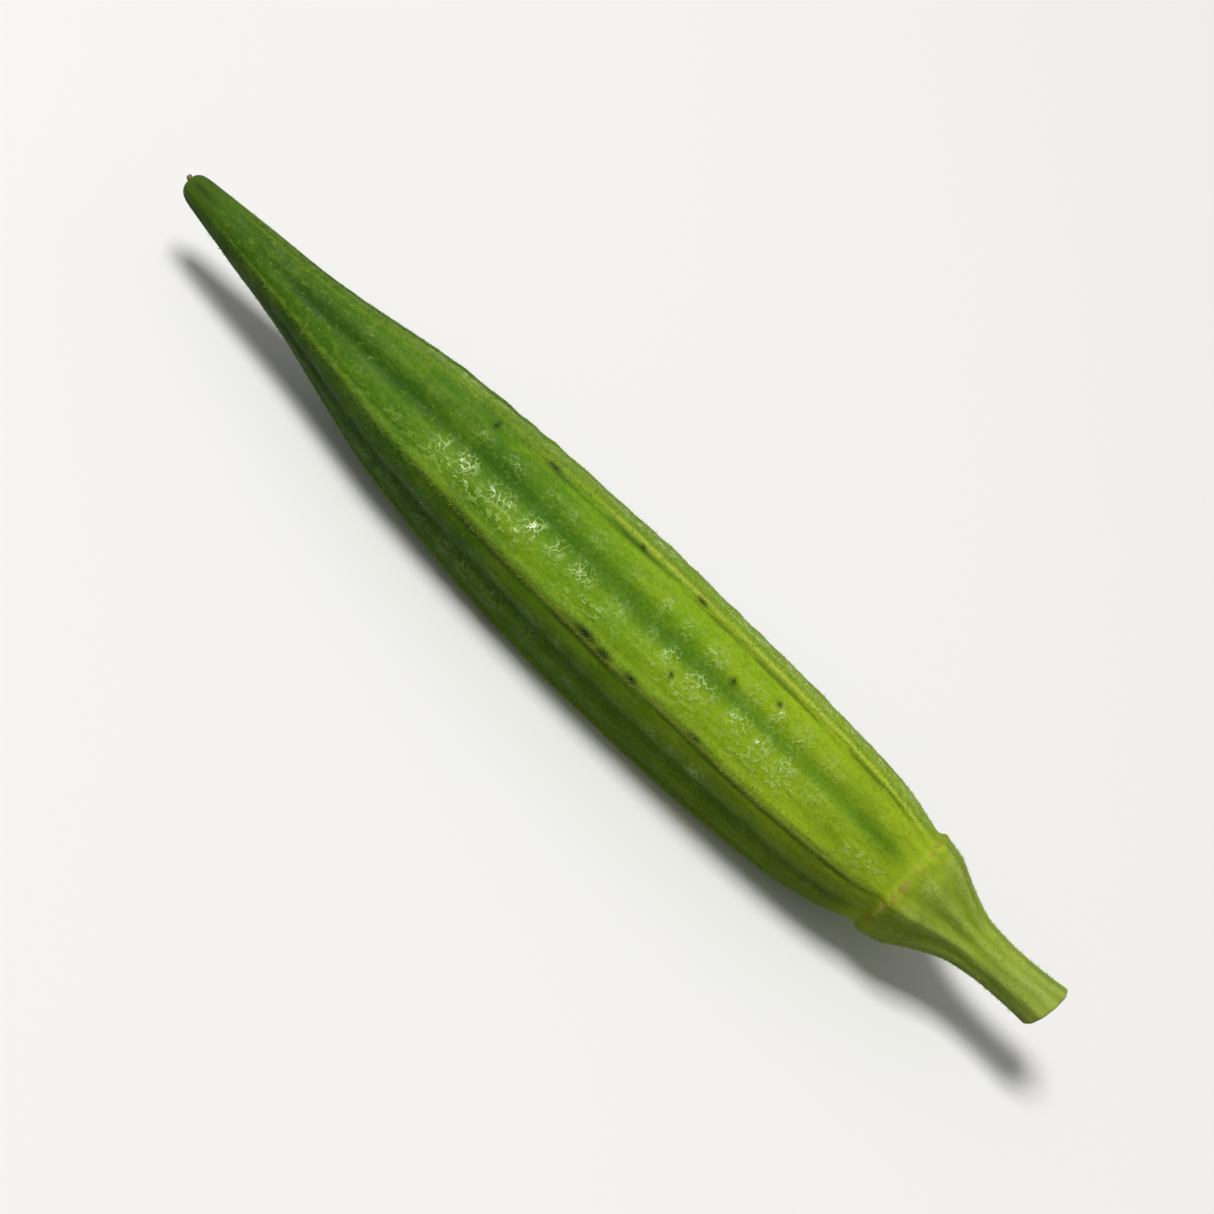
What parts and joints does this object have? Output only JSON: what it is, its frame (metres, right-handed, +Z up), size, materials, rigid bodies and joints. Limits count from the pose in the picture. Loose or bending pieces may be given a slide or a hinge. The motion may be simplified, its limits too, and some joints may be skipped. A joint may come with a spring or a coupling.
{
  "type": "okra pod",
  "caption": "Fresh okra pod with five ridges, a long beak, a fluted cap and a cut stalk, lying on its side.",
  "frame": {"origin": "middle of the pod's box, at the surface it lies on", "axes": "+X along the pod from its tip to its stalk, +Z up from the surface"},
  "size_m": [0.1414, 0.0218, 0.0214],
  "materials": {
    "skin": "fresh green skin with a soft waxy sheen and fine short hairs"
  },
  "bodies": {
    "root": {"okra_pod": "skin"}
  },
  "joints": []
}
